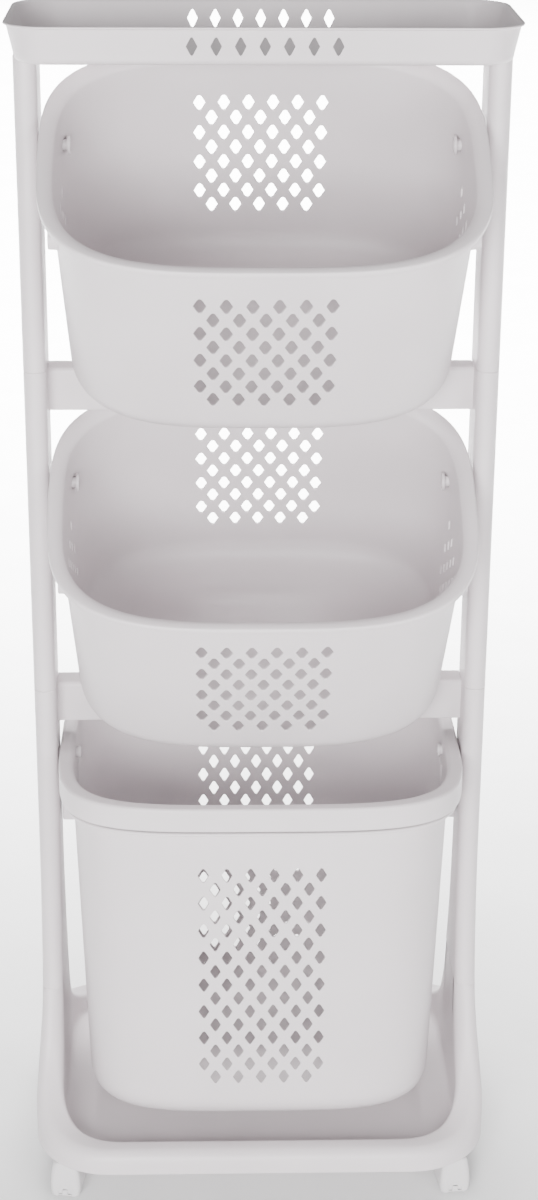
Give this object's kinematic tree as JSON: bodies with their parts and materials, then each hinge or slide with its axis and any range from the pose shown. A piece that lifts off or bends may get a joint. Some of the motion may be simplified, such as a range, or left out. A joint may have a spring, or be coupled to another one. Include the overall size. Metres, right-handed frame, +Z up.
{
  "type": "laundry sorter on wheels",
  "caption": "Tall narrow laundry sorter: two tilted baskets and a hanging tub between side posts, a shelf tray on top and a castered base tray, in pale plastic with diamond vents.",
  "frame": {"origin": "middle of the footprint, on the floor", "axes": "+X to the right, +Y to the rear, +Z up"},
  "size_m": [0.442, 0.3647, 1.123],
  "materials": {
    "pale_plastic": "fine satin moulded polypropylene, pale warm grey",
    "peg_plastic": "satin moulded plastic",
    "caster_plastic": "satin moulded plastic, a touch cooler than the frame",
    "wheel_plastic": "moulded nylon, lightly scuffed",
    "zinc_steel": "zinc plated"
  },
  "bodies": {
    "frame": {"base_tray": "pale_plastic", "lower_post_left": "pale_plastic", "lower_post_right": "pale_plastic", "middle_post_left": "pale_plastic", "middle_post_right": "pale_plastic", "upper_post_left": "pale_plastic", "upper_post_right": "pale_plastic", "lower_crossbar": "pale_plastic", "upper_crossbar": "pale_plastic", "top_tray": "pale_plastic", "upper_pivot_peg_left": "peg_plastic", "upper_pivot_peg_right": "peg_plastic", "middle_pivot_peg_left": "peg_plastic", "middle_pivot_peg_right": "peg_plastic", "tub_pivot_peg_left": "peg_plastic", "tub_pivot_peg_right": "peg_plastic"},
    "upper_basket": {"upper_basket": "pale_plastic"},
    "middle_basket": {"middle_basket": "pale_plastic"},
    "hanging_tub": {"hanging_tub": "pale_plastic"},
    "front_left_caster": {"front_left_caster_stem": "zinc_steel", "front_left_caster_housing": "caster_plastic", "front_left_caster_axle": "zinc_steel"},
    "front_left_wheel": {"front_left_caster_wheel": "wheel_plastic"},
    "front_right_caster": {"front_right_caster_stem": "zinc_steel", "front_right_caster_housing": "caster_plastic", "front_right_caster_axle": "zinc_steel"},
    "front_right_wheel": {"front_right_caster_wheel": "wheel_plastic"},
    "rear_left_caster": {"rear_left_caster_stem": "zinc_steel", "rear_left_caster_housing": "caster_plastic", "rear_left_caster_axle": "zinc_steel"},
    "rear_left_wheel": {"rear_left_caster_wheel": "wheel_plastic"},
    "rear_right_caster": {"rear_right_caster_stem": "zinc_steel", "rear_right_caster_housing": "caster_plastic", "rear_right_caster_axle": "zinc_steel"},
    "rear_right_wheel": {"rear_right_caster_wheel": "wheel_plastic"}
  },
  "joints": [
    {"name": "upper_basket_tilt", "type": "hinge", "parent": "frame", "child": "upper_basket", "pos_m": [0, 0.0175, 1.009], "axis": [-1, 0, 0], "range_deg": [0, 29]},
    {"name": "middle_basket_tilt", "type": "hinge", "parent": "frame", "child": "middle_basket", "pos_m": [0, 0.0175, 0.6956], "axis": [-1, 0, 0], "range_deg": [0, 29]},
    {"name": "hanging_tub_swing", "type": "hinge", "parent": "frame", "child": "hanging_tub", "pos_m": [0, 0.0175, 0.4185], "axis": [1, 0, 0], "range_deg": [-12, 12]},
    {"name": "front_left_swivel", "type": "hinge", "parent": "frame", "child": "front_left_caster", "pos_m": [-0.189, -0.1035, 0.043], "axis": [0, 0, 1], "continuous": true},
    {"name": "front_left_wheel_spin", "type": "hinge", "parent": "front_left_caster", "child": "front_left_wheel", "pos_m": [-0.18956, -0.10746, 0.017], "axis": [-0.9903, 0.1392, 0], "continuous": true},
    {"name": "front_right_swivel", "type": "hinge", "parent": "frame", "child": "front_right_caster", "pos_m": [0.189, -0.1035, 0.043], "axis": [0, 0, 1], "continuous": true},
    {"name": "front_right_wheel_spin", "type": "hinge", "parent": "front_right_caster", "child": "front_right_wheel", "pos_m": [0.18949, -0.10747, 0.017], "axis": [-0.9925, -0.1219, 0], "continuous": true},
    {"name": "rear_left_swivel", "type": "hinge", "parent": "frame", "child": "rear_left_caster", "pos_m": [-0.189, 0.1385, 0.043], "axis": [0, 0, 1], "continuous": true},
    {"name": "rear_left_wheel_spin", "type": "hinge", "parent": "rear_left_caster", "child": "rear_left_wheel", "pos_m": [-0.19146, 0.14165, 0.017], "axis": [0.788, 0.6157, 0], "continuous": true},
    {"name": "rear_right_swivel", "type": "hinge", "parent": "frame", "child": "rear_right_caster", "pos_m": [0.189, 0.1385, 0.043], "axis": [0, 0, 1], "continuous": true},
    {"name": "rear_right_wheel_spin", "type": "hinge", "parent": "rear_right_caster", "child": "rear_right_wheel", "pos_m": [0.19215, 0.14096, 0.017], "axis": [0.6157, -0.788, 0], "continuous": true}
  ]
}
